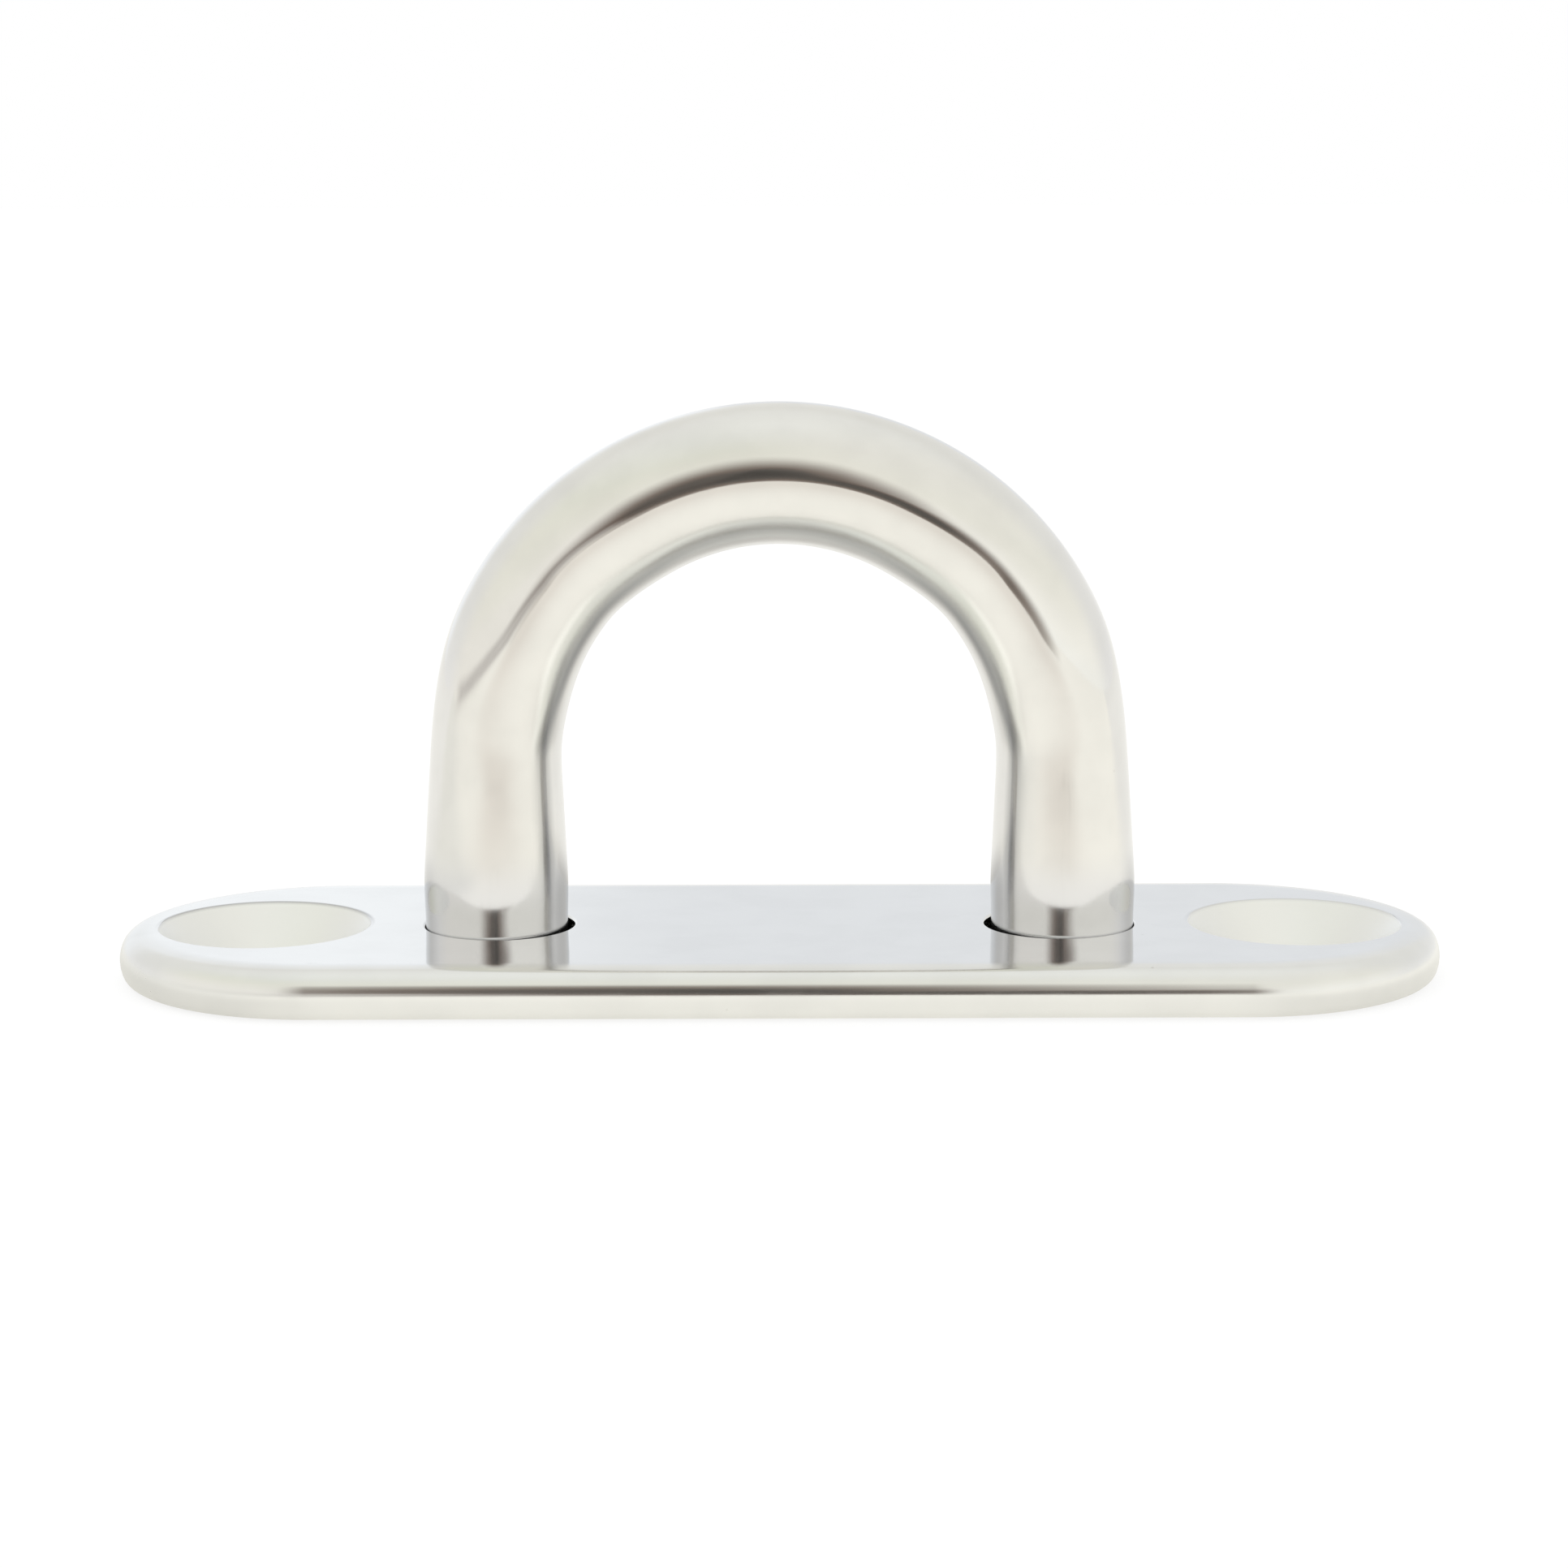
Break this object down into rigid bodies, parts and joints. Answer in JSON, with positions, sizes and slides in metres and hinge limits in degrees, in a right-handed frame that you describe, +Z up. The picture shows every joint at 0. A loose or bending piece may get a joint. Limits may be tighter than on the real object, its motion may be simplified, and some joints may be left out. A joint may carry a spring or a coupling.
{
  "type": "eye plate",
  "caption": "Oblong eye plate in mirror-polished stainless steel: a round-bar bow welded to a flat plate with rounded ends and countersunk screw holes.",
  "frame": {"origin": "middle of the base plate's underside", "axes": "+X along the plate from one screw hole to the other, +Y across the plate through the eye, +Z up through the bow"},
  "size_m": [0.0588, 0.0186, 0.0255],
  "materials": {
    "polished_plate": "mirror-polished stainless steel sheet",
    "polished_bar": "mirror-polished stainless steel bar",
    "ground_weld": "stainless weld metal, ground flush"
  },
  "bodies": {
    "root": {"base_plate": "polished_plate", "bow": "polished_bar", "weld_left": "ground_weld", "weld_right": "ground_weld"}
  },
  "joints": []
}
